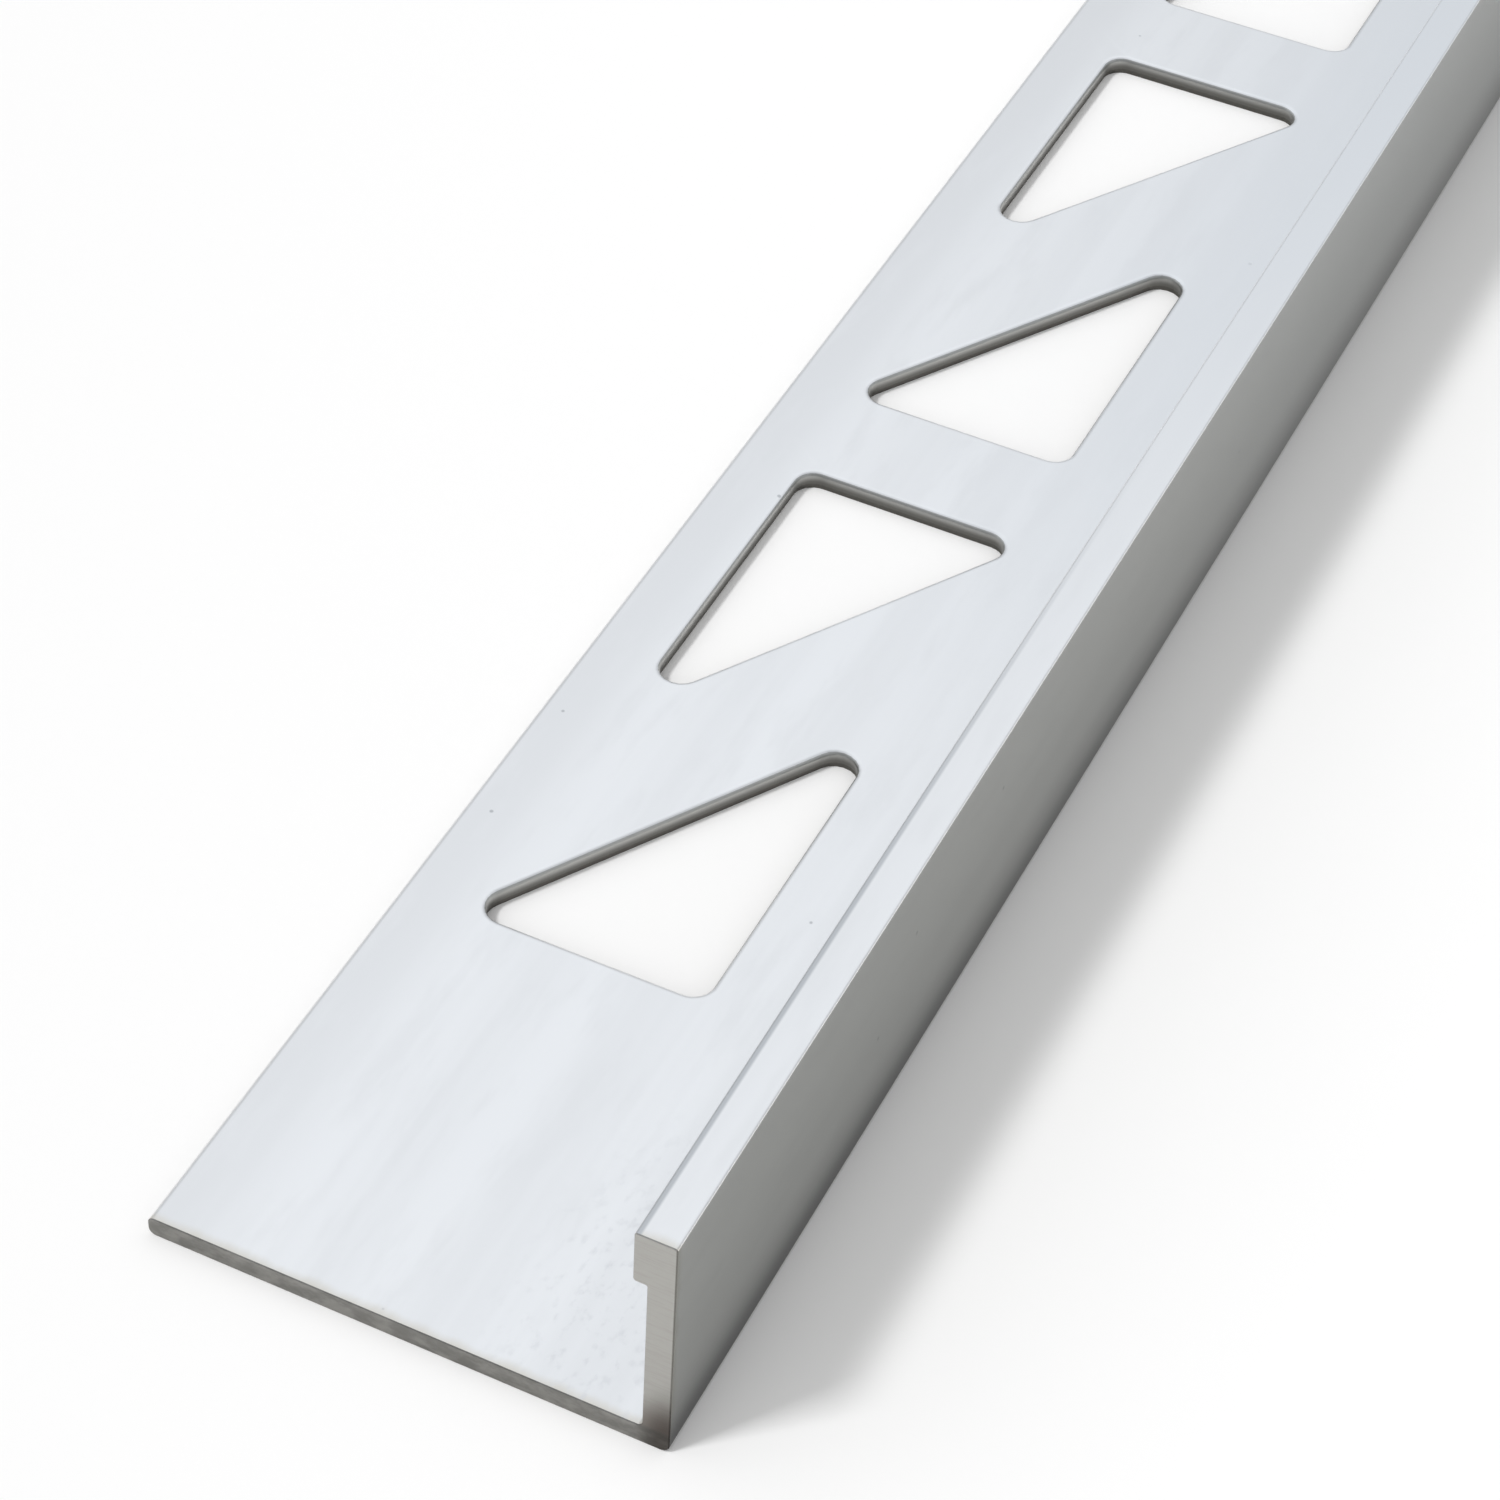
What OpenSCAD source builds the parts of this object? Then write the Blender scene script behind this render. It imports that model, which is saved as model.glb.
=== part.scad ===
// Tile edge trim: one extruded aluminium bar of L section. The upright wall covers the cut
// edge of the tile and ends in a square head whose lip reaches in over the adhesive bed.
// The flat leg lies in the adhesive under the tile and is punched with pairs of right-angled
// triangular holes that key into it. Length runs along Y, the wall stands at +X and the leg
// rests on Z = 0.

/* [Bar] */

// length of the bar between its two sawn ends
bar_l = 1000; // [80:10:2500]
// height of the bar, which is the thickness of the tile with its adhesive
bar_h = 12.5; // [6:0.5:30]
// width of the bar from the outer face of the wall to the free edge of the leg
bar_w = 23.5; // [19:0.5:40]

/* [Section] */

// thickness of the punched leg
leg_t = 1.0; // [0.7:0.1:2]
// thickness of the upright wall below the head
wall_t = 1.2; // [0.8:0.1:2.5]
// height of the square head on top of the wall
head_h = 2.8; // [1:0.1:4]
// reach of the lip of the head, from the inner face of the wall
lip_w = 0.6; // [0.5:0.05:2]

/* [Corners of the section] */

// radius of the outer corner under the wall
base_r = 0.4; // [0.1:0.05:1]
// radius of the two upper corners of the head
head_r = 0.15; // [0.05:0.05:0.6]
// radius of the lower corner of the lip
lip_r = 0.15; // [0.05:0.05:0.4]
// radius inside the corner between the lip and the wall
nook_r = 0.1; // [0.05:0.05:0.25]
// radius inside the corner between the wall and the leg
root_r = 0.25; // [0.05:0.05:1]
// radius of the two corners along the free edge of the leg
edge_r = 0.34; // [0.1:0.02:0.48]
// number of flats that each rounded corner is made of
corner_steps = 8; // [4:1:12]

/* [Punched holes] */

// distance from one pair of holes to the next along the bar
pitch = 40; // [36:0.5:80]
// size of each triangular hole along the bar
hole_l = 19; // [12:0.1:26]
// distance along the bar from the near side of a pair to its far side
pair_l = 33.6; // [27:0.1:37]
// radius of the three corners of each hole
hole_r = 1.0; // [0.3:0.1:2]
// distance from the near end of the bar to the first hole
first_hole = 21; // [3:0.5:35]
// least solid length left between the last hole and the far end of the bar
end_band = 8; // [3:0.5:35]
// solid band between the outer face of the wall and the square side of the near hole
wall_band = 8.9; // [4:0.1:10]
// solid band between the free edge of the leg and the tip of the near hole
tip_band = 2.9; // [1.5:0.1:6]
// solid band between the free edge of the leg and the square side of the far hole
edge_band = 3.5; // [1.5:0.1:6]

/* [Hidden] */

// outer face of the wall
wall_x = bar_w / 2;
// free edge of the leg
free_x = wall_x - bar_w;
// near end of the bar
near_y = -bar_l / 2;
// run of each cut past the face it leaves
over = leg_t;
// size of each triangular hole across the bar
hole_w = bar_w - wall_band - tip_band;
// number of pairs of holes that the length has room for
pairs = 1 + floor((bar_l - first_hole - pair_l - end_band) / pitch);

// corners of the section in order, each with its radius
section_corners = [
    [free_x, 0, edge_r],
    [wall_x, 0, base_r],
    [wall_x, bar_h, head_r],
    [wall_x - wall_t - lip_w, bar_h, head_r],
    [wall_x - wall_t - lip_w, bar_h - head_h, lip_r],
    [wall_x - wall_t, bar_h - head_h, nook_r],
    [wall_x - wall_t, leg_t, root_r],
    [free_x, leg_t, edge_r],
];

// corners of one hole, each with its radius, the square corner at the origin
hole_corners = [
    [0, 0, hole_r],
    [0, hole_l, hole_r],
    [-hole_w, 0, hole_r],
];

// direction of v at length one
function unit(v) = v / norm(v);

// v turned about the origin by angle a
function turned(v, a) = [v[0] * cos(a) - v[1] * sin(a), v[0] * sin(a) + v[1] * cos(a)];

// points of the arc of radius r that rounds corner p between its neighbours a and b
function arc_points(a, p, b, r) =
    let (
        u = unit(a - p),
        w = unit(b - p),
        half = acos(u * w) / 2,
        centre = p + unit(u + w) * r / sin(half),
        start = p + u * r / tan(half) - centre,
        sweep = sign(cross(w, u)) * (180 - 2 * half)
    )
    [for (k = [0 : corner_steps]) centre + turned(start, sweep * k / corner_steps)];

// place in the plane of corner k of a closed row of corners
function place(corners, k) =
    let (c = corners[(k + len(corners)) % len(corners)])
    [c[0], c[1]];

// outline through a closed row of corners, each rounded to its own radius
function outline(corners) = [
    for (k = [0 : len(corners) - 1])
        each arc_points(place(corners, k - 1), place(corners, k), place(corners, k + 1), corners[k][2])
];

// one punch through the leg, its square corner at the origin
module hole_punch() {
    translate([0, 0, -over])
        linear_extrude(height = leg_t + 2 * over)
            polygon(outline(hole_corners));
}

// the two punches of one pair, the far one turned half round to face the near one
module pair_of_punches() {
    translate([wall_x - wall_band, 0, 0])
        hole_punch();
    translate([free_x + edge_band, pair_l, 0])
        rotate([0, 0, 180])
            hole_punch();
}

// the extruded and punched bar
module edge_trim() {
    color([0.8, 0.82, 0.84])
        difference() {
            rotate([90, 0, 0])
                linear_extrude(height = bar_l, center = true)
                    polygon(outline(section_corners));
            for (k = [0 : pairs - 1])
                translate([0, near_y + first_hole + k * pitch, 0])
                    pair_of_punches();
        }
}

edge_trim();
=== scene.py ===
"""Aluminium tile edge trim: a drawn bar with punched keying holes, dressed for the studio."""
import logging
import math
from dataclasses import dataclass
from enum import Enum
from typing import Any, Sequence

import bmesh
import bpy
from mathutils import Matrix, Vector


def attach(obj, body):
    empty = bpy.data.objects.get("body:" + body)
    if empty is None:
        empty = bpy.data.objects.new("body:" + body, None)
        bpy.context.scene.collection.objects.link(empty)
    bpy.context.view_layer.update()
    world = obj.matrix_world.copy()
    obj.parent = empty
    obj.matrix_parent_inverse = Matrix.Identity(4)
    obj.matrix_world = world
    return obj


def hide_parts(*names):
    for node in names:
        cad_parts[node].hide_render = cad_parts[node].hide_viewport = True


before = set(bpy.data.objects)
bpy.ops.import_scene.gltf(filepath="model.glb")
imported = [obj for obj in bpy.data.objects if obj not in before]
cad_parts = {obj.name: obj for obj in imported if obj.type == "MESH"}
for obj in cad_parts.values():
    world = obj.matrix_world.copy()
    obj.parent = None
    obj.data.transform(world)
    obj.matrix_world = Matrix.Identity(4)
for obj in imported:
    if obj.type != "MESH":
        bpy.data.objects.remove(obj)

# Short names for the kinds of thing that the methods hand on.
Tree = bpy.types.NodeTree
Socket = bpy.types.NodeSocket
Axes = bpy.types.bpy_prop_collection
Form = bmesh.types.BMesh
Loop = list[bmesh.types.BMVert]

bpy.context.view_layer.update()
MM = 0.001
BODY = "root"
LOG = logging.getLogger("tile_edge_trim")
SMOOTH = {"interpolation_type": "SMOOTHSTEP"}
COLOURS = {"data_type": "RGBA"}
DARKER = {"data_type": "RGBA", "blend_type": "MULTIPLY"}
VALUES = {"data_type": "FLOAT"}
# The numbers of the Mix node's inputs: its share, two plain values and two colours.
MIX_SHARE = 0
MIX_LOW = 2
MIX_HIGH = 3
MIX_FIRST = 6
MIX_SECOND = 7
# The number of its output for a colour.
MIX_COLOUR = 2
# How a colour is written in hex, and the sRGB curve.
HEX_BASE = 16
HEX_DIGITS = 2
SRGB_KNEE = 0.04045
SRGB_SLOPE = 12.92
SRGB_OFFSET = 0.055
SRGB_POWER = 2.4
SRGB_TOP = 255


class Slot(Enum):
    """The places in the bar's list of materials."""

    DRAWN = 0
    PUNCHED = 1
    SAWN = 2


@dataclass(frozen=True)
class Corner:
    """One corner of an outline in mm, and the radius it is rounded to."""

    u: float
    v: float
    radius: float


@dataclass(frozen=True)
class EdgePoint:
    """One point of a rounded outline in mm, with the direction that points out of it."""

    place: Vector
    out: Vector

    def moved(self, distance: float) -> Vector:
        """Return the point moved outwards by a distance in mm."""
        return self.place + self.out * distance


def rounded_outline(corners: Sequence[Corner], steps: int) -> list[EdgePoint]:
    """Round each corner of an outline that runs anticlockwise.

    Args:
        corners: The outline's corners in order, in mm.
        steps: The number of straight pieces in each rounded corner.

    Returns:
        The points of the rounded outline, steps + 1 for each corner.
    """
    points: list[EdgePoint] = []
    for index, corner in enumerate(corners):
        here = Vector((corner.u, corner.v))
        before = corners[index - 1]
        after = corners[(index + 1) % len(corners)]
        into = (here - Vector((before.u, before.v))).normalized()
        away = (Vector((after.u, after.v)) - here).normalized()
        turn = math.atan2(into.x * away.y - into.y * away.x, into.dot(away))
        side = math.copysign(1.0, turn)
        start = here - into * (corner.radius * math.tan(abs(turn) / 2))
        centre = start + Vector((-into.y, into.x)) * side * corner.radius
        for step in range(steps + 1):
            angle = turn * step / steps
            arm = turned(start - centre, angle)
            heading = turned(into, angle)
            points.append(EdgePoint(centre + arm, Vector((heading.y, -heading.x))))
    return points


def turned(arrow: Vector, angle: float) -> Vector:
    """Turn a flat vector anticlockwise.

    Args:
        arrow: The vector.
        angle: The angle in radians.

    Returns:
        The turned vector.
    """
    cosine = math.cos(angle)
    sine = math.sin(angle)
    return Vector((arrow.x * cosine - arrow.y * sine, arrow.x * sine + arrow.y * cosine))


def linear(hex_colour: str) -> tuple[float, float, float, float]:
    """Turn an sRGB hex colour into linear red, green, blue and alpha.

    Args:
        hex_colour: The colour as six hex digits after a hash sign.

    Returns:
        The linear colour with alpha 1.
    """
    digits = hex_colour.lstrip("#")
    places = range(0, len(digits), HEX_DIGITS)
    shares = [int(digits[place:place + HEX_DIGITS], HEX_BASE) / SRGB_TOP for place in places]
    red, green, blue = (
        share / SRGB_SLOPE
        if share <= SRGB_KNEE
        else ((share + SRGB_OFFSET) / (1 + SRGB_OFFSET)) ** SRGB_POWER
        for share in shares
    )
    return (red, green, blue, 1.0)


def add_node(
    tree: Tree,
    kind: str,
    settings: dict[str, Any] | None = None,
    links: dict[int | str, Any] | None = None,
) -> bpy.types.Node:
    """Add one node with its settings and the links and values of its inputs.

    Args:
        tree: The node tree that gets the node.
        kind: The node's type name.
        settings: Attribute values of the node, by name.
        links: Values or output sockets for its inputs, by input name or number.

    Returns:
        The new node.
    """
    node = tree.nodes.new(kind)
    for name, value in (settings or {}).items():
        setattr(node, name, value)
    for key, value in (links or {}).items():
        if isinstance(value, Socket):
            tree.links.new(value, node.inputs[key])
        else:
            node.inputs[key].default_value = value
    return node


def new_tree(name: str) -> tuple[bpy.types.Material, Tree]:
    """Make an empty node material.

    Args:
        name: The material's name.

    Returns:
        The material and its node tree, with nothing in it.
    """
    material = bpy.data.materials.new(name)
    material.use_nodes = True
    material.node_tree.nodes.clear()
    return material, material.node_tree


@dataclass(frozen=True)
class Fade:
    """A smooth change from a first to a last level while a value runs from a start to an end."""

    start: float
    end: float
    first: float = 0.0
    last: float = 1.0

    def of(self, value: Socket) -> dict[int | str, Any]:
        """Return what a Map Range node's inputs get for this change of a value."""
        limits = {"From Min": self.start, "From Max": self.end, "To Min": self.first, "To Max": self.last}
        return {"Value": value, **limits}

    def of_length(self, value: Socket) -> dict[int | str, Any]:
        """Return the same for a length: this change's limits are in mm and the value is in metres."""
        return Fade(self.start * MM, self.end * MM, self.first, self.last).of(value)


@dataclass(frozen=True)
class Grain:
    """A noise pattern of a real size: its spacing across, along and up the bar in mm."""

    across_mm: float
    along_mm: float
    up_mm: float
    detail: float = 3.0
    harshness: float = 0.55
    slant: float = 0.0

    def lay(self, tree: Tree, place: Socket) -> Socket:
        """Lay the pattern over a material.

        Args:
            tree: The material's node tree.
            place: The object's coordinates in metres.

        Returns:
            The pattern's value, about 0.5 in the mean.
        """
        scale = [1 / (spacing * MM) for spacing in (self.across_mm, self.along_mm, self.up_mm)]
        spread = add_node(
            tree,
            "ShaderNodeMapping",
            None,
            {"Vector": place, "Rotation": (0.0, self.slant, 0.0), "Scale": scale},
        )
        noise = add_node(
            tree,
            "ShaderNodeTexNoise",
            None,
            {
                "Vector": spread.outputs["Vector"],
                "Scale": 1.0,
                "Detail": self.detail,
                "Roughness": self.harshness,
            },
        )
        return noise.outputs["Fac"]


@dataclass(frozen=True)
class Spot:
    """A soft round spot of a real size.

    It is longer along an axis whose draw is under 1, and runs on along one whose draw is 0.
    """

    centre_mm: tuple[float, float, float]
    draw: tuple[float, float, float]
    reach_mm: Fade

    def lay(self, tree: Tree, place: Socket) -> Socket:
        """Lay the spot on a material.

        Args:
            tree: The material's node tree.
            place: The object's coordinates in metres.

        Returns:
            The spot's share at each place.
        """
        centre = [value * MM * draw for value, draw in zip(self.centre_mm, self.draw)]
        drawn = add_node(
            tree, "ShaderNodeVectorMath", {"operation": "MULTIPLY"}, {0: place, 1: self.draw}
        ).outputs["Vector"]
        away = add_node(
            tree, "ShaderNodeVectorMath", {"operation": "DISTANCE"}, {0: drawn, 1: centre}
        ).outputs["Value"]
        return add_node(
            tree, "ShaderNodeMapRange", SMOOTH, self.reach_mm.of_length(away)
        ).outputs["Result"]


@dataclass(frozen=True)
class SatinDrawnAluminium:
    """Aluminium drawn through a die, etched matt and clear anodised.

    The die leaves fine lines and faint bands along the bar. The etch breaks every reflection into a
    soft, nearly white sheen, with faint clouds, a few specks and small pits from handling. The wall's
    outer face, which stays in view between the tiles, is smoother, and painted shade makes it a darker
    grey, most so along its foot and by the near end.
    """

    # The clean metal, the faint bands of the die and the clouds of the etch.
    bright: str = "#F5F5F5"
    band_colour: str = "#F1F1F1"
    cloud_colour: str = "#EFEFEF"
    # The leg is a little darker towards its free side, and a warm bare rim stands along the near sawn end.
    side_colour: str = "#ECECEC"
    side_mm: Fade = Fade(-11.3, -6.5, 1.0, 0.0)
    rim_colour: str = "#E2DED5"
    rim_mm: Fade = Fade(-500.35, -499.75, 1.0, 0.0)
    rim_ragged_mm: float = 0.6
    # Painted shade: away from the near end the bar is a little darker, most on the wall's side.
    far_shade_colour: str = "#E8EAEC"
    far_shade_along_mm: Fade = Fade(-470.0, -415.0)
    far_shade_across_mm: Fade = Fade(-6.0, 10.5, 0.1, 1.0)
    # Painted shade: a fine grey line along the head's inner top edge by the near end.
    edge_shade_colour: str = "#C5C7C9"
    edge_x_mm: float = 10.09
    edge_mm: Fade = Fade(0.06, 0.2, 1.0, 0.0)
    edge_along_mm: Fade = Fade(-485.0, -445.0, 1.0, 0.0)
    edge_above_mm: float = 12.3
    # The outer face with its rounded lower corner, painted a darker grey as shade: deepest along its
    # foot, and a little darker along its top and by the near end.
    face_from_mm: float = 11.74
    corner: Spot = Spot((11.75, 0.0, 0.0), (1.0, 0.0, 1.0), Fade(0.38, 0.5, 1.0, 0.0))
    face_shade_colour: str = "#C4C5C1"
    foot_shade_colour: str = "#898989"
    foot_mm: Fade = Fade(-1.0, 4.5, 1.0, 0.0)
    top_shade_colour: str = "#F0F0F0"
    top_mm: Fade = Fade(8.5, 12.5)
    near_shade_colour: str = "#ECEDED"
    near_mm: Fade = Fade(-490.0, -425.0, 1.0, 0.0)
    # Painted shade along the face's foot at the near end.
    near_foot_shade_colour: str = "#8C8C8B"
    near_foot_shade: Spot = Spot((11.75, -500.0, 0.0), (0.0, 0.025, 1.0), Fade(0.4, 2.4, 1.0, 0.0))
    # Scuffs by the root near the sawn end, in a spot that is drawn out along the bar.
    scuff_colour: str = "#E2E2E3"
    scuffed: Spot = Spot((7.2, -495.0, 1.0), (1.0, 0.42, 1.0), Fade(0.5, 6.0, 0.8, 0.0))
    scuff_shown: Fade = Fade(0.5, 0.74)
    scuffs: Grain = Grain(0.42, 0.7, 0.42)
    # Real die lines are some 0.02 mm apart: these are drawn coarser, as the render shows no finer.
    lines: Grain = Grain(0.16, 45.0, 0.16)
    line_height_mm: float = 0.002
    bands: Grain = Grain(2.6, 260.0, 2.6)
    bands_shown: Fade = Fade(0.35, 0.65)
    clouds: Grain = Grain(1.3, 6.0, 1.3)
    clouds_shown: Fade = Fade(0.45, 0.75)
    # The etch's grit is really about 0.03 mm and is drawn coarser for the same reason.
    grit: Grain = Grain(0.11, 0.11, 0.11)
    grit_height_mm: float = 0.002
    speck_colour: str = "#C6C7C8"
    pit_gap_mm: float = 3.1
    pit_mm: Fade = Fade(0.065, 0.13, 1.0, 0.0)
    pit_depth_mm: float = 0.008
    # Satin on the whole, a little duller on the bands, and closest to a mirror on the outer face.
    roughness: Fade = Fade(0.3, 0.7, 0.34, 0.38)
    face_roughness: float = 0.18

    def material(self) -> bpy.types.Material:
        """Build the finish, patterned from the object's own coordinates.

        Returns:
            The material.
        """
        material, tree = new_tree("satin_drawn_aluminium")
        place = add_node(tree, "ShaderNodeTexCoord").outputs["Object"]
        axes = add_node(tree, "ShaderNodeSeparateXYZ", None, {"Vector": place}).outputs
        bands = self.bands.lay(tree, place)
        pits = self.pits(tree, place)
        face = self.outer_face(tree, place, axes["X"])
        marks = (
            (pits, self.speck_colour),
            (self.scuffed_spot(tree, place), self.scuff_colour),
            # painted shade, darker away from the near end
            (self.far_shaded(tree, axes), self.far_shade_colour),
            # a painted shade line along the head's inner top edge
            (self.edge_shade_line(tree, axes), self.edge_shade_colour),
        )
        body: Any = linear(self.bright)
        for share, colour in (*self.shades(tree, place, axes, bands), *marks):
            body = add_node(
                tree,
                "ShaderNodeMix",
                COLOURS,
                {MIX_SHARE: share, MIX_FIRST: body, MIX_SECOND: linear(colour)},
            ).outputs[MIX_COLOUR]
        # The wall's outer face is darkened by painted shade.
        grey = self.face_shade_grey(tree, place, axes)
        colour = add_node(
            tree, "ShaderNodeMix", DARKER, {MIX_SHARE: face, MIX_FIRST: body, MIX_SECOND: grey}
        ).outputs[MIX_COLOUR]
        satin = add_node(tree, "ShaderNodeMapRange", SMOOTH, self.roughness.of(bands)).outputs["Result"]
        rough = add_node(
            tree,
            "ShaderNodeMix",
            VALUES,
            {MIX_SHARE: face, MIX_LOW: satin, MIX_HIGH: self.face_roughness},
        ).outputs["Result"]
        relief = self.relief(tree, place, pits)
        shader = add_node(
            tree,
            "ShaderNodeBsdfPrincipled",
            None,
            {"Base Color": colour, "Metallic": 1.0, "Roughness": rough, "Normal": relief},
        )
        add_node(tree, "ShaderNodeOutputMaterial", None, {"Surface": shader.outputs["BSDF"]})
        return material

    def shades(self, tree: Tree, place: Socket, axes: Axes, bands: Socket) -> list[tuple[Socket, str]]:
        """Add the faint bands, the darker free side, the clouds and the bare rim with its ragged edge.

        Args:
            tree: The material's node tree.
            place: The object's coordinates in metres.
            axes: The sockets with the coordinates in metres, named X, Y and Z.
            bands: The value of the die's bands.

        Returns:
            The share and the colour of each.
        """
        clouds = self.clouds.lay(tree, place)
        ragged = add_node(
            tree,
            "ShaderNodeMath",
            {"operation": "MULTIPLY_ADD"},
            {0: clouds, 1: -self.rim_ragged_mm * MM, 2: axes["Y"]},
        ).outputs["Value"]
        fades = (
            (self.bands_shown.of(bands), self.band_colour),
            (self.side_mm.of_length(axes["X"]), self.side_colour),
            (self.clouds_shown.of(clouds), self.cloud_colour),
            (self.rim_mm.of_length(ragged), self.rim_colour),
        )
        return [
            (add_node(tree, "ShaderNodeMapRange", SMOOTH, links).outputs["Result"], colour)
            for links, colour in fades
        ]

    def scuffed_spot(self, tree: Tree, place: Socket) -> Socket:
        """Add the scuffed spot by the root near the sawn end.

        Args:
            tree: The material's node tree.
            place: The object's coordinates in metres.

        Returns:
            A value that is high on a scuff and 0 elsewhere.
        """
        inside = self.scuffed.lay(tree, place)
        grains = self.scuff_shown.of(self.scuffs.lay(tree, place))
        shown = add_node(tree, "ShaderNodeMapRange", SMOOTH, grains).outputs["Result"]
        return add_node(
            tree, "ShaderNodeMath", {"operation": "MULTIPLY"}, {0: inside, 1: shown}
        ).outputs["Value"]

    def edge_shade_line(self, tree: Tree, axes: Axes) -> Socket:
        """Add the painted shade line along the head's inner top edge, by the near end.

        Args:
            tree: The material's node tree.
            axes: The sockets with the coordinates in metres, named X, Y and Z.

        Returns:
            A value that is 1 on the line and 0 elsewhere.
        """
        off = add_node(
            tree, "ShaderNodeMath", {"operation": "SUBTRACT"}, {0: axes["X"], 1: self.edge_x_mm * MM}
        ).outputs["Value"]
        gap = add_node(tree, "ShaderNodeMath", {"operation": "ABSOLUTE"}, {0: off}).outputs["Value"]
        line = add_node(tree, "ShaderNodeMapRange", SMOOTH, self.edge_mm.of_length(gap)).outputs["Result"]
        along = add_node(tree, "ShaderNodeMapRange", SMOOTH, self.edge_along_mm.of_length(axes["Y"]))
        from_height = self.edge_above_mm * MM
        high = add_node(
            tree, "ShaderNodeMath", {"operation": "GREATER_THAN"}, {0: axes["Z"], 1: from_height}
        ).outputs["Value"]
        for share in (along.outputs["Result"], high):
            line = add_node(
                tree, "ShaderNodeMath", {"operation": "MULTIPLY"}, {0: line, 1: share}
            ).outputs["Value"]
        return line

    def far_shaded(self, tree: Tree, axes: Axes) -> Socket:
        """Find the painted shade that darkens the bar away from the near end, most on the wall's side.

        Args:
            tree: The material's node tree.
            axes: The sockets with the coordinates in metres, named X, Y and Z.

        Returns:
            The share of the painted shade's colour.
        """
        along = add_node(tree, "ShaderNodeMapRange", SMOOTH, self.far_shade_along_mm.of_length(axes["Y"]))
        across = add_node(tree, "ShaderNodeMapRange", SMOOTH, self.far_shade_across_mm.of_length(axes["X"]))
        return add_node(
            tree,
            "ShaderNodeMath",
            {"operation": "MULTIPLY"},
            {0: along.outputs["Result"], 1: across.outputs["Result"]},
        ).outputs["Value"]

    def outer_face(self, tree: Tree, place: Socket, across: Socket) -> Socket:
        """Find the wall's outer face, with the rounded corner below it.

        Args:
            tree: The material's node tree.
            place: The object's coordinates in metres.
            across: The place across the bar in metres.

        Returns:
            A value that is 1 on the outer face and 0 elsewhere.
        """
        flat = add_node(
            tree, "ShaderNodeMath", {"operation": "GREATER_THAN"}, {0: across, 1: self.face_from_mm * MM}
        ).outputs["Value"]
        return add_node(
            tree, "ShaderNodeMath", {"operation": "MAXIMUM"}, {0: flat, 1: self.corner.lay(tree, place)}
        ).outputs["Value"]

    def face_shade_grey(self, tree: Tree, place: Socket, axes: Axes) -> Socket:
        """Build the painted shade grey that the outer face is darkened by, deepest along its foot.

        Args:
            tree: The material's node tree.
            place: The object's coordinates in metres.
            axes: The sockets with the coordinates in metres, named X, Y and Z.

        Returns:
            The painted shade grey.
        """
        fades = (
            (self.foot_mm.of_length(axes["Z"]), self.foot_shade_colour),
            (self.top_mm.of_length(axes["Z"]), self.top_shade_colour),
            (self.near_mm.of_length(axes["Y"]), self.near_shade_colour),
        )
        # The first layer is painted shade along the foot at the near end.
        layers = [(self.near_foot_shade.lay(tree, place), linear(self.near_foot_shade_colour))]
        for links, colour in fades:
            share = add_node(tree, "ShaderNodeMapRange", SMOOTH, links).outputs["Result"]
            layers.append((share, linear(colour)))
        grey: Any = linear(self.face_shade_colour)
        for share, colour in layers:
            grey = add_node(
                tree, "ShaderNodeMix", DARKER, {MIX_SHARE: share, MIX_FIRST: grey, MIX_SECOND: colour}
            ).outputs[MIX_COLOUR]
        return grey

    def pits(self, tree: Tree, place: Socket) -> Socket:
        """Add sparse round pits.

        Args:
            tree: The material's node tree.
            place: The object's coordinates in metres.

        Returns:
            A value that is 1 in a pit and 0 elsewhere.
        """
        gap = self.pit_gap_mm
        spread = add_node(
            tree, "ShaderNodeVectorMath", {"operation": "SCALE"}, {0: place, "Scale": 1 / (gap * MM)}
        )
        cells = add_node(
            tree,
            "ShaderNodeTexVoronoi",
            {"feature": "F1"},
            {"Vector": spread.outputs["Vector"], "Scale": 1.0},
        ).outputs
        size = Fade(self.pit_mm.start / gap, self.pit_mm.end / gap, self.pit_mm.first, self.pit_mm.last)
        return add_node(tree, "ShaderNodeMapRange", SMOOTH, size.of(cells["Distance"])).outputs["Result"]

    def relief(self, tree: Tree, place: Socket, pits: Socket) -> Socket:
        """Raise the die lines and the grit and sink the pits.

        Args:
            tree: The material's node tree.
            place: The object's coordinates in metres.
            pits: A value that is 1 in a pit.

        Returns:
            The bent surface normal.
        """
        raised = add_node(
            tree,
            "ShaderNodeBump",
            None,
            {"Height": self.lines.lay(tree, place), "Distance": self.line_height_mm * MM, "Strength": 1.0},
        ).outputs["Normal"]
        gritty = add_node(
            tree,
            "ShaderNodeBump",
            None,
            {
                "Height": self.grit.lay(tree, place),
                "Distance": self.grit_height_mm * MM,
                "Strength": 1.0,
                "Normal": raised,
            },
        ).outputs["Normal"]
        return add_node(
            tree,
            "ShaderNodeBump",
            {"invert": True},
            {"Height": pits, "Distance": self.pit_depth_mm * MM, "Strength": 1.0, "Normal": gritty},
        ).outputs["Normal"]


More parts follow.
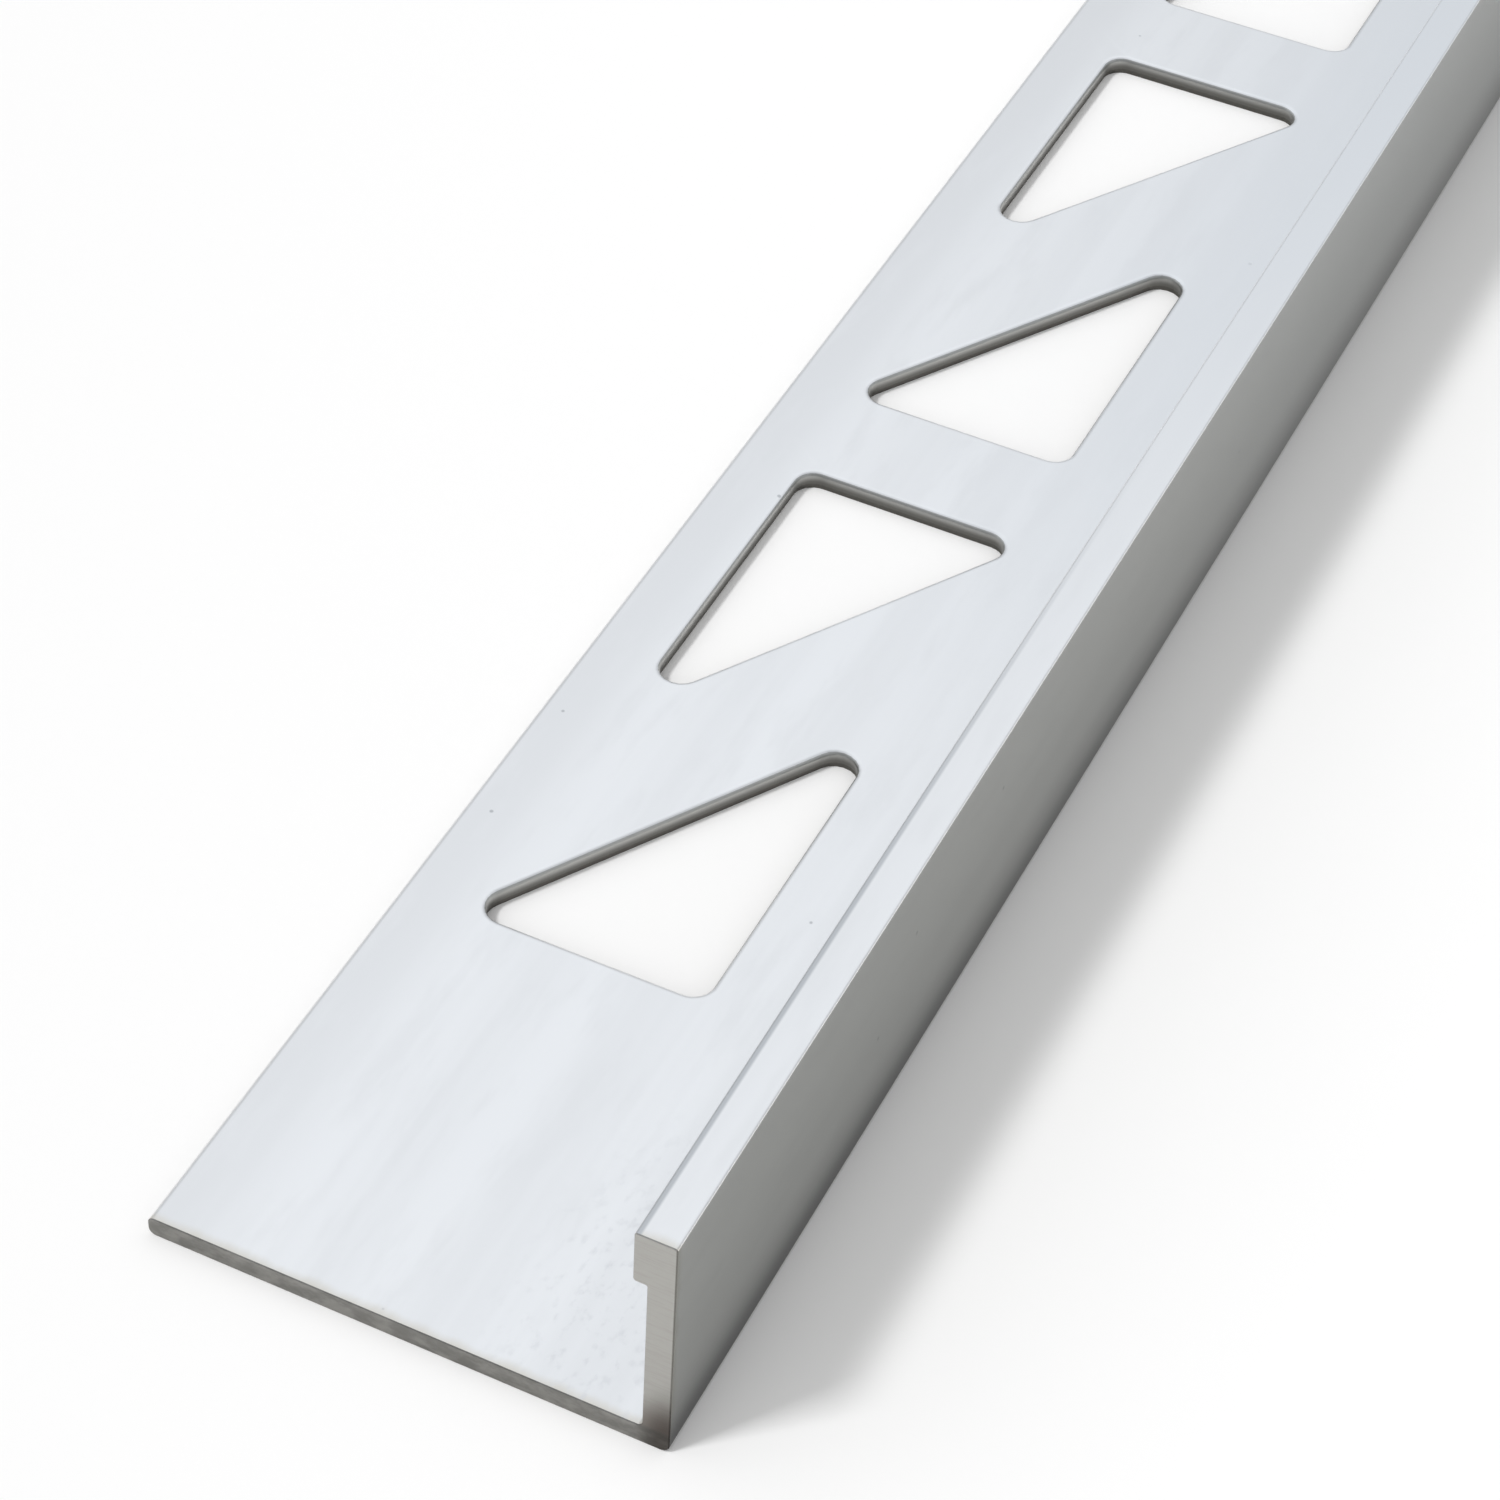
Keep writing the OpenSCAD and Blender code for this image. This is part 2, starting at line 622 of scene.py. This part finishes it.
@dataclass(frozen=True)
class PunchedAluminium:
    """Bare aluminium sheared by a punch.

    The punch draws the top edge down into a soft bright roll, rubs the upper part of the wall smooth
    and tears the lower part, with fine upright scores. The wall is coloured from light at its top to a
    dark grey lower down: partly the rubbed and torn metal, partly painted shade deepening into the hole.
    """

    # The roll at the top, the rubbed wall below it and the torn foot, and the heights between them. The
    # darker tones below the roll are partly the bare metal and partly painted shade in the hole.
    rolled_colour: str = "#C4C4C1"
    sheared_shaded_colour: str = "#777672"
    torn_shaded_colour: str = "#7A7873"
    sheared_mm: Fade = Fade(0.42, 0.95)
    torn_mm: Fade = Fade(0.28, 0.42)
    ragged_mm: float = 0.1
    # Rough where it is torn and smoother where it is rubbed.
    roughness: Fade = Fade(0.0, 1.0, 0.72, 0.42)
    # Real scores are about 0.03 mm apart and are drawn coarser, as the render shows no finer.
    scores: Grain = Grain(0.09, 0.09, 0.75, 3.0, 0.6)
    score_depth_mm: float = 0.012

    def material(self) -> bpy.types.Material:
        """Build the finish, patterned from the object's own coordinates.

        Returns:
            The material.
        """
        material, tree = new_tree("punched_aluminium")
        place = add_node(tree, "ShaderNodeTexCoord").outputs["Object"]
        height = add_node(tree, "ShaderNodeSeparateXYZ", None, {"Vector": place}).outputs["Z"]
        scores = self.scores.lay(tree, place)
        ragged = add_node(
            tree,
            "ShaderNodeMath",
            {"operation": "MULTIPLY_ADD"},
            {0: scores, 1: self.ragged_mm * MM, 2: height},
        ).outputs["Value"]
        torn = self.torn_mm.of_length(ragged)
        whole = add_node(tree, "ShaderNodeMapRange", SMOOTH, torn).outputs["Result"]
        upper = add_node(tree, "ShaderNodeMapRange", SMOOTH, self.sheared_mm.of_length(height))
        sheared = add_node(
            tree,
            "ShaderNodeMix",
            COLOURS,
            {
                MIX_SHARE: upper.outputs["Result"],
                MIX_FIRST: linear(self.sheared_shaded_colour),
                MIX_SECOND: linear(self.rolled_colour),
            },
        ).outputs[MIX_COLOUR]
        colour = add_node(
            tree,
            "ShaderNodeMix",
            COLOURS,
            {MIX_SHARE: whole, MIX_FIRST: linear(self.torn_shaded_colour), MIX_SECOND: sheared},
        ).outputs[MIX_COLOUR]
        rough = add_node(tree, "ShaderNodeMapRange", SMOOTH, self.roughness.of(whole)).outputs["Result"]
        relief = add_node(
            tree,
            "ShaderNodeBump",
            None,
            {"Height": scores, "Distance": self.score_depth_mm * MM, "Strength": 1.0},
        ).outputs["Normal"]
        shader = add_node(
            tree,
            "ShaderNodeBsdfPrincipled",
            None,
            {"Base Color": colour, "Metallic": 1.0, "Roughness": rough, "Normal": relief},
        )
        add_node(tree, "ShaderNodeOutputMaterial", None, {"Surface": shader.outputs["BSDF"]})
        return material


@dataclass(frozen=True)
class SawnAluminium:
    """Bare aluminium cut by a circular saw.

    The teeth leave fine slanted lines across the cut, so the face is a duller, slightly warm grey.
    The thin leg's end is painted darker as shade near the floor, with blotches, and painted shade
    tinges the wall's end brown just above it and darkens its lower outer corner.
    """

    # The clean cut and its lines, the brown tinge of painted shade just above the leg, and the leg's
    # end darkened by painted shade, with blotches.
    clean_colour: str = "#BFBEB9"
    line_colour: str = "#BAB7B3"
    tinge_shade_colour: str = "#938A84"
    leg_end_shade_colour: str = "#8D8C88"
    blotch_colour: str = "#A8A6A2"
    # The lower outer corner, darkened as painted shade, and the line along the wall's outer edge where
    # the teeth came out.
    shaded_corner_colour: str = "#9C9794"
    shaded_corner: Spot = Spot((11.75, -500.0, 0.0), (1.0, 0.0, 0.38), Fade(0.5, 1.8, 1.0, 0.0))
    exit_colour: str = "#A9A9A6"
    exit_mm: Fade = Fade(11.67, 11.72)
    lines_shown: Fade = Fade(0.35, 0.55)
    tinge_mm: Fade = Fade(1.2, 3.4, 0.7, 0.0)
    leg_end_shade_mm: Fade = Fade(0.93, 1.27, 1.0, 0.0)
    blotches: Grain = Grain(0.9, 0.9, 0.5, 4.0, 0.6)
    blotches_shown: Fade = Fade(0.35, 0.72)
    roughness: float = 0.5
    # A tooth's mark is about 0.05 mm wide and is drawn coarser, as the render shows no finer.
    lines: Grain = Grain(2.0, 0.12, 0.12, 4.0, 0.65, 0.35)
    line_depth_mm: float = 0.003

    def material(self) -> bpy.types.Material:
        """Build the finish, patterned from the object's own coordinates.

        Returns:
            The material.
        """
        material, tree = new_tree("sawn_aluminium")
        place = add_node(tree, "ShaderNodeTexCoord").outputs["Object"]
        axes = add_node(tree, "ShaderNodeSeparateXYZ", None, {"Vector": place}).outputs
        lines = self.lines.lay(tree, place)
        blotches = self.blotches_shown.of(self.blotches.lay(tree, place))
        blotched = add_node(tree, "ShaderNodeMapRange", SMOOTH, blotches).outputs["Result"]
        leg_end_shade = add_node(
            tree,
            "ShaderNodeMix",
            COLOURS,
            {
                MIX_SHARE: blotched,
                MIX_FIRST: linear(self.leg_end_shade_colour),
                MIX_SECOND: linear(self.blotch_colour),
            },
        ).outputs[MIX_COLOUR]
        body: Any = linear(self.line_colour)
        # The tinge and the leg's end are painted shade near the floor.
        layers = (
            (self.lines_shown.of(lines), linear(self.clean_colour)),
            (self.tinge_mm.of_length(axes["Z"]), linear(self.tinge_shade_colour)),
            (self.leg_end_shade_mm.of_length(axes["Z"]), leg_end_shade),
        )
        for links, colour in layers:
            share = add_node(tree, "ShaderNodeMapRange", SMOOTH, links).outputs["Result"]
            body = add_node(
                tree, "ShaderNodeMix", COLOURS, {MIX_SHARE: share, MIX_FIRST: body, MIX_SECOND: colour}
            ).outputs[MIX_COLOUR]
        exit_line = add_node(tree, "ShaderNodeMapRange", SMOOTH, self.exit_mm.of_length(axes["X"]))
        # The darker lower outer corner is painted shade.
        marks = (
            (self.shaded_corner.lay(tree, place), self.shaded_corner_colour),
            (exit_line.outputs["Result"], self.exit_colour),
        )
        for share, colour in marks:
            body = add_node(
                tree,
                "ShaderNodeMix",
                DARKER,
                {MIX_SHARE: share, MIX_FIRST: body, MIX_SECOND: linear(colour)},
            ).outputs[MIX_COLOUR]
        relief = add_node(
            tree,
            "ShaderNodeBump",
            None,
            {"Height": lines, "Distance": self.line_depth_mm * MM, "Strength": 1.0},
        ).outputs["Normal"]
        shader = add_node(
            tree,
            "ShaderNodeBsdfPrincipled",
            None,
            {"Base Color": body, "Metallic": 1.0, "Roughness": self.roughness, "Normal": relief},
        )
        add_node(tree, "ShaderNodeOutputMaterial", None, {"Surface": shader.outputs["BSDF"]})
        return material


@dataclass(frozen=True)
class PaleStudioBoard:
    """Matt painted board, the studio's floor, which shows the bar's soft shadow and no sheen."""

    colour: str = "#FBFBFB"
    roughness: float = 0.95

    def material(self) -> bpy.types.Material:
        """Build the finish.

        Returns:
            The material.
        """
        material, tree = new_tree("pale_studio_board")
        shader = add_node(
            tree, "ShaderNodeBsdfDiffuse", None, {"Color": linear(self.colour), "Roughness": self.roughness}
        )
        add_node(tree, "ShaderNodeOutputMaterial", None, {"Surface": shader.outputs["BSDF"]})
        return material


@dataclass(frozen=True)
class WallStep:
    """One step down a hole's wall in mm, with the finish of the face below it."""

    out: float
    height: float
    finish: Slot


@dataclass
class EdgeTrim:
    """The bar: an upright wall with a thicker head, and a thin leg punched with keying holes.

    The wall's outer face looks along +X and the near end is at -Y. All sizes are in mm.
    """

    # The section: leg and wall are thicknesses, head and lip are how far the head comes down and in.
    length: float = 1000.0
    height: float = 12.5
    width: float = 23.5
    leg: float = 1.0
    wall: float = 1.2
    head: float = 2.8
    lip: float = 0.6
    # How round its corners are.
    base_round: float = 0.4
    head_round: float = 0.15
    lip_round: float = 0.15
    nook_round: float = 0.1
    root_round: float = 0.25
    edge_round: float = 0.34
    arc_steps: int = 8
    # The pairs of holes, and the bands of leg between them and the bar's own edges.
    pitch: float = 40.0
    hole_length: float = 19.0
    pair_length: float = 33.6
    hole_round: float = 1.0
    first_hole: float = 21.0
    end_band: float = 8.0
    wall_band: float = 8.9
    tip_band: float = 2.9
    edge_band: float = 3.5
    # What the punch leaves on a hole's wall: the roll at its top, the tear and its foot.
    roll_out: float = 0.3
    roll_down: float = 0.26
    tear_height: float = 0.52
    tear_out: float = 0.07
    foot_out: float = 0.1
    foot_height: float = 0.04
    # The saw's slight edge break, and the angle from which an edge is left sharp.
    end_break: float = 0.04
    crease_degrees: float = 32.0
    # The section's corners, counted from 1, after which the leg's underside and its top run straight.
    under_corner: int = 1
    top_corner: int = 7

    @property
    def wall_x(self) -> float:
        """Return the place of the wall's outer face across the bar."""
        return self.width / 2

    @property
    def free_x(self) -> float:
        """Return the place of the leg's free edge across the bar."""
        return -self.width / 2

    @property
    def near_y(self) -> float:
        """Return the place of the near end along the bar."""
        return -self.length / 2

    @property
    def hole_width(self) -> float:
        """Return the width of a hole, from its square corner to its tip."""
        return self.width - self.wall_band - self.tip_band

    @property
    def pairs(self) -> int:
        """Return the number of pairs of holes that the length holds."""
        room = self.length - self.first_hole - self.pair_length - self.end_band
        return 1 + math.floor(room / self.pitch)

    def section(self) -> list[EdgePoint]:
        """Draw the rounded cross-section, anticlockwise seen with X to the right and Z up.

        Returns:
            The section's points.
        """
        inner = self.wall_x - self.wall
        lip = inner - self.lip
        corners = [
            Corner(self.free_x, 0.0, self.edge_round),
            Corner(self.wall_x, 0.0, self.base_round),
            Corner(self.wall_x, self.height, self.head_round),
            Corner(lip, self.height, self.head_round),
            Corner(lip, self.height - self.head, self.lip_round),
            Corner(inner, self.height - self.head, self.nook_round),
            Corner(inner, self.leg, self.root_round),
            Corner(self.free_x, self.leg, self.edge_round),
        ]
        return rounded_outline(corners, self.arc_steps)

    def hole(self, pair: int, far: bool) -> list[EdgePoint]:
        """Draw the outline of one punched hole.

        Args:
            pair: The number of the pair, from the near end.
            far: Whether it is the far hole of the pair, which is turned half round.

        Returns:
            The rounded outline.
        """
        start = self.near_y + self.first_hole + pair * self.pitch
        if far:
            square = Vector((self.free_x + self.edge_band, start + self.pair_length))
            facing = -1.0
        else:
            square = Vector((self.wall_x - self.wall_band, start))
            facing = 1.0
        corners = [
            Corner(square.x, square.y, self.hole_round),
            Corner(square.x, square.y + facing * self.hole_length, self.hole_round),
            Corner(square.x - facing * self.hole_width, square.y, self.hole_round),
        ]
        return rounded_outline(corners, self.arc_steps)

    def stations(self) -> list[float]:
        """Place the cuts across the bar: at both ends and between the pairs of holes.

        Returns:
            The cuts' places along the bar, from the near end.
        """
        gap = self.pitch - self.pair_length
        first = self.near_y + self.first_hole + self.pair_length + gap / 2
        cuts = [first + index * self.pitch for index in range(self.pairs)]
        return [self.near_y + self.end_break, *cuts, -self.near_y - self.end_break]

    def mesh(self) -> bpy.types.Mesh:
        """Build the bar as one closed skin.

        Returns:
            The mesh in metres.
        """
        form = bmesh.new()
        section = self.section()
        rings = [
            [form.verts.new((point.place.x, along, point.place.y)) for point in section]
            for along in self.stations()
        ]
        for near, far in zip(rings, rings[1:]):
            self.skin_between(form, near, far)
        for ring, sign in ((rings[0], -1.0), (rings[-1], 1.0)):
            self.close_end(form, section, ring, sign)
        for bay, (near, far) in enumerate(zip(rings, rings[1:])):
            self.punched_leg(form, bay, near, far)
        for vertex in form.verts:
            vertex.co *= MM
        bmesh.ops.recalc_face_normals(form, faces=form.faces)
        crease = math.radians(self.crease_degrees)
        for face in form.faces:
            face.smooth = True
        for edge in form.edges:
            edge.smooth = edge.calc_face_angle(0.0) < crease
        mesh = bpy.data.meshes.new("edge_trim_bar")
        form.to_mesh(mesh)
        form.free()
        return mesh

    def flats(self) -> tuple[int, int]:
        """Return the section points after which the leg's underside and its top run straight."""
        per_corner = self.arc_steps + 1
        return per_corner * self.under_corner - 1, per_corner * self.top_corner - 1

    def skin_between(self, form: Form, near: Loop, far: Loop) -> None:
        """Join two rings by faces, except where the punched flats go.

        Args:
            form: The mesh in work.
            near: The ring nearer the near end.
            far: The next ring.
        """
        count = len(near)
        flats = self.flats()
        for index in range(count):
            if index in flats:
                continue
            after = (index + 1) % count
            face = form.faces.new((near[index], near[after], far[after], far[index]))
            face.material_index = Slot.DRAWN.value

    def close_end(self, form: Form, section: list[EdgePoint], ring: Loop, sign: float) -> None:
        """Close one end with a sawn face inside a slight edge break.

        Args:
            form: The mesh in work.
            section: The section's points.
            ring: The last ring at this end.
            sign: -1 for the near end, 1 for the far end.
        """
        along = sign * self.length / 2
        rim = []
        for point in section:
            place = point.moved(-self.end_break)
            rim.append(form.verts.new((place.x, along, place.y)))
        for index in range(len(ring)):
            after = (index + 1) % len(ring)
            face = form.faces.new((ring[index], ring[after], rim[after], rim[index]))
            face.material_index = Slot.SAWN.value
        form.faces.new(rim).material_index = Slot.SAWN.value

    def punched_leg(self, form: Form, bay: int, near: Loop, far: Loop) -> None:
        """Fill the leg's top and underside between two rings, round the holes of one pair.

        Args:
            form: The mesh in work.
            bay: The number of the bay, which is that of its pair.
            near: The ring nearer the near end.
            far: The next ring.
        """
        under, top = self.flats()
        tops: list[Loop] = []
        feet: list[Loop] = []
        if bay < self.pairs:
            for is_far in (False, True):
                brim, foot = self.punched_wall(form, self.hole(bay, is_far))
                tops.append(brim)
                feet.append(foot)
        for start, holes, up in ((top, tops, 1.0), (under, feet, -1.0)):
            frame_loop = [near[start], near[start + 1], far[start + 1], far[start]]
            edges = [
                found
                for loop in [frame_loop, *holes]
                for found in self.loop_edges(form, loop)
            ]
            made = bmesh.ops.triangle_fill(
                form, edges=edges, use_beauty=True, use_dissolve=False, normal=(0.0, 0.0, up)
            )
            for item in made["geom"]:
                if isinstance(item, bmesh.types.BMFace):
                    item.material_index = Slot.DRAWN.value

    def loop_edges(self, form: Form, loop: Loop) -> list[bmesh.types.BMEdge]:
        """Find the edges of a closed loop of vertices, and make those that are missing.

        Args:
            form: The mesh in work.
            loop: The vertices in order.

        Returns:
            The edges in order.
        """
        edges = []
        for index, vertex in enumerate(loop):
            after = loop[(index + 1) % len(loop)]
            edges.append(form.edges.get((vertex, after)) or form.edges.new((vertex, after)))
        return edges

    def wall_steps(self) -> list[WallStep]:
        """Draw a hole wall's profile from its top to its foot.

        Returns:
            The steps in order.
        """
        steps: list[WallStep] = []
        for step in range(self.arc_steps + 1):
            angle = math.pi / 2 * step / self.arc_steps
            out = self.roll_out * (1 - math.sin(angle))
            height = self.leg - self.roll_down * (1 - math.cos(angle))
            finish = Slot.DRAWN if step < self.arc_steps // 2 else Slot.PUNCHED
            steps.append(WallStep(out, height, finish))
        steps.append(WallStep(0.0, self.tear_height, Slot.PUNCHED))
        steps.append(WallStep(self.tear_out, self.foot_height, Slot.PUNCHED))
        steps.append(WallStep(self.foot_out, 0.0, Slot.PUNCHED))
        return steps

    def punched_wall(self, form: Form, outline: list[EdgePoint]) -> tuple[Loop, Loop]:
        """Build the wall of one hole, with its rolled top edge and its torn lower part.

        Args:
            form: The mesh in work.
            outline: The hole's outline at its narrowest.

        Returns:
            The loop of vertices at the leg's top and the one at its underside.
        """
        loops = []
        steps = self.wall_steps()
        for step in steps:
            loop = []
            for point in outline:
                place = point.moved(step.out)
                loop.append(form.verts.new((place.x, place.y, step.height)))
            loops.append(loop)
        for step, upper, lower in zip(steps, loops, loops[1:]):
            for index in range(len(outline)):
                after = (index + 1) % len(outline)
                face = form.faces.new((upper[index], upper[after], lower[after], lower[index]))
                face.material_index = step.finish.value
        return loops[0], loops[-1]

    def build(self) -> bpy.types.Object:
        """Build and dress the bar, which stands for the CAD solid and rides on its body.

        Returns:
            The bar's object.
        """
        mesh = self.mesh()
        bar = bpy.data.objects.new("trim_bar", mesh)
        bpy.context.scene.collection.objects.link(bar)
        weigh = bar.modifiers.new("flat_faces_stay_flat", "WEIGHTED_NORMAL")
        weigh.keep_sharp = True
        weigh.mode = "FACE_AREA"
        self.dress(bar)
        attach(bar, BODY)
        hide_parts("edge_trim")
        return bar

    def dress(self, bar: bpy.types.Object) -> None:
        """Give the bar its three finishes.

        Args:
            bar: The bar's object.
        """
        finishes = {
            Slot.DRAWN: SatinDrawnAluminium(),
            Slot.PUNCHED: PunchedAluminium(),
            Slot.SAWN: SawnAluminium(),
        }
        for slot in Slot:
            bar.data.materials.append(finishes[slot].material())


@dataclass(frozen=True)
class SoftBox:
    """One square soft box, in metres and watts."""

    name: str
    place: tuple[float, float, float]
    aim: tuple[float, float, float]
    side: float
    watts: float

    def hang(self) -> bpy.types.Object:
        """Hang and aim the lamp, which lights the scene and isn't mirrored in the metal itself.

        Returns:
            The lamp's object.
        """
        lamp = bpy.data.lights.new(self.name, "AREA")
        lamp.shape = "SQUARE"
        lamp.size = self.side
        lamp.energy = self.watts
        box = bpy.data.objects.new(self.name, lamp)
        bpy.context.scene.collection.objects.link(box)
        box.location = self.place
        box.visible_glossy = False
        way = Vector(self.aim) - Vector(self.place)
        box.rotation_euler = way.to_track_quat("-Z", "Y").to_euler()
        return box


@dataclass(frozen=True)
class Studio:
    """The floor, the soft light and the pale surroundings. Sizes are in metres."""

    floor_half: float = 12.0
    floor_cells: int = 6
    # The soft box hangs on the leg's side, so that the wall's outer face mirrors its own soft shadow.
    key: SoftBox = SoftBox("key_box", (-2.0, -2.7, 4.8), (0.0, -0.1, 0.0), 0.8, 116.0)
    # How strongly the room lights the scene, from the leg's side (-X) to the wall's side (+X).
    light: Fade = Fade(-1.0, 1.0, 0.8, 0.64)
    light_colour: str = "#FFFFFF"
    # How white the room is where it is seen or mirrored: by height, and dimmer towards the near side.
    height: Fade = Fade(0.3, 0.64, 0.63, 1.0)
    near: Fade = Fade(-0.3, 0.7, 1.0, 0.42)
    near_way: tuple[float, float, float] = (0.62, -0.78, 0.0)
    room_colour: str = "#F6FAFF"
    # Below this depth a ray hasn't met the matt floor yet.
    floor_depth: float = 0.5

    def floor(self) -> bpy.types.Object:
        """Lay the floor, a level sheet right under the bar.

        Returns:
            The floor's object.
        """
        form = bmesh.new()
        bmesh.ops.create_grid(
            form, x_segments=self.floor_cells, y_segments=self.floor_cells, size=self.floor_half
        )
        mesh = bpy.data.meshes.new("studio_floor")
        form.to_mesh(mesh)
        form.free()
        mesh.materials.append(PaleStudioBoard().material())
        sheet = bpy.data.objects.new("studio_floor", mesh)
        bpy.context.scene.collection.objects.link(sheet)
        return sheet

    def surroundings(self) -> None:
        """Set the pale room, with one level where it is seen or mirrored and one where it lights."""
        world = bpy.data.worlds.new("pale_room")
        bpy.context.scene.world = world
        world.use_nodes = True
        tree = world.node_tree
        tree.nodes.clear()
        way = add_node(tree, "ShaderNodeTexCoord").outputs["Generated"]
        axes = add_node(tree, "ShaderNodeSeparateXYZ", None, {"Vector": way}).outputs
        towards = add_node(
            tree, "ShaderNodeVectorMath", {"operation": "DOT_PRODUCT"}, {0: way, 1: self.near_way}
        ).outputs["Value"]
        height = add_node(tree, "ShaderNodeMapRange", SMOOTH, self.height.of(axes["Z"])).outputs["Result"]
        side = add_node(tree, "ShaderNodeMapRange", SMOOTH, self.near.of(towards)).outputs["Result"]
        white = add_node(
            tree, "ShaderNodeMath", {"operation": "MULTIPLY"}, {0: height, 1: side}
        ).outputs["Value"]
        light = add_node(tree, "ShaderNodeMapRange", SMOOTH, self.light.of(axes["X"])).outputs["Result"]
        seen = self.seen(tree)
        level = add_node(
            tree,
            "ShaderNodeMix",
            VALUES,
            {MIX_SHARE: seen, MIX_LOW: light, MIX_HIGH: white},
        ).outputs["Result"]
        colour = add_node(
            tree,
            "ShaderNodeMix",
            COLOURS,
            {
                MIX_SHARE: seen,
                MIX_FIRST: linear(self.light_colour),
                MIX_SECOND: linear(self.room_colour),
            },
        ).outputs[MIX_COLOUR]
        room = add_node(tree, "ShaderNodeBackground", None, {"Color": colour, "Strength": level})
        add_node(tree, "ShaderNodeOutputWorld", None, {"Surface": room.outputs["Background"]})

    def seen(self, tree: Tree) -> Socket:
        """Find the rays that see the room, straight or in metal, and not by way of the matt floor.

        Args:
            tree: The world's node tree.

        Returns:
            A value that is 1 for such a ray and 0 for others.
        """
        path = add_node(tree, "ShaderNodeLightPath").outputs
        seen = path["Is Camera Ray"]
        for name in ("Is Glossy Ray", "Is Transmission Ray"):
            seen = add_node(
                tree, "ShaderNodeMath", {"operation": "MAXIMUM"}, {0: seen, 1: path[name]}
            ).outputs["Value"]
        before_floor = add_node(
            tree,
            "ShaderNodeMath",
            {"operation": "LESS_THAN"},
            {0: path["Diffuse Depth"], 1: self.floor_depth},
        ).outputs["Value"]
        return add_node(
            tree, "ShaderNodeMath", {"operation": "MULTIPLY"}, {0: seen, 1: before_floor}
        ).outputs["Value"]


@dataclass(frozen=True)
class PhotoCamera:
    """The camera at the photograph's viewing angle.

    Its place is in mm in the row frame, its turn in degrees about X, Y and Z, and the nearest and
    farthest distances that it shows are in metres.
    """

    focal_px: float = 4072.33
    frame_px: float = 1500.0
    sensor_mm: float = 36.0
    place_mm: tuple[float, float, float] = (50.652, -585.353, 129.665)
    turn_degrees: tuple[float, float, float] = (45.68256, -2.33342, 25.81077)
    nearest: float = 0.001
    farthest: float = 100.0

    def place(self) -> bpy.types.Object:
        """Place the camera and make it the scene's own.

        Returns:
            The camera's object.
        """
        lens = bpy.data.cameras.new("photo_camera")
        lens.sensor_width = self.sensor_mm
        lens.lens = self.focal_px / self.frame_px * self.sensor_mm
        lens.clip_start = self.nearest
        lens.clip_end = self.farthest
        camera = bpy.data.objects.new("photo_camera", lens)
        bpy.context.scene.collection.objects.link(camera)
        camera.location = [value * MM for value in self.place_mm]
        camera.rotation_euler = [math.radians(value) for value in self.turn_degrees]
        bpy.context.scene.camera = camera
        return camera


def report(piece: bpy.types.Object) -> None:
    """Log one finished piece with its number of vertices and faces.

    Args:
        piece: The finished object.
    """
    LOG.info("%s: %d vertices, %d faces", piece.name, len(piece.data.vertices), len(piece.data.polygons))


def main() -> None:
    """Build the trim, the studio and the camera in order, and report each piece."""
    logging.basicConfig(level=logging.INFO, format="%(name)s: %(message)s")
    bpy.context.scene.view_settings.view_transform = "Standard"
    report(EdgeTrim().build())
    studio = Studio()
    report(studio.floor())
    studio.surroundings()
    studio.key.hang()
    PhotoCamera().place()


if __name__ == "__main__":
    main()
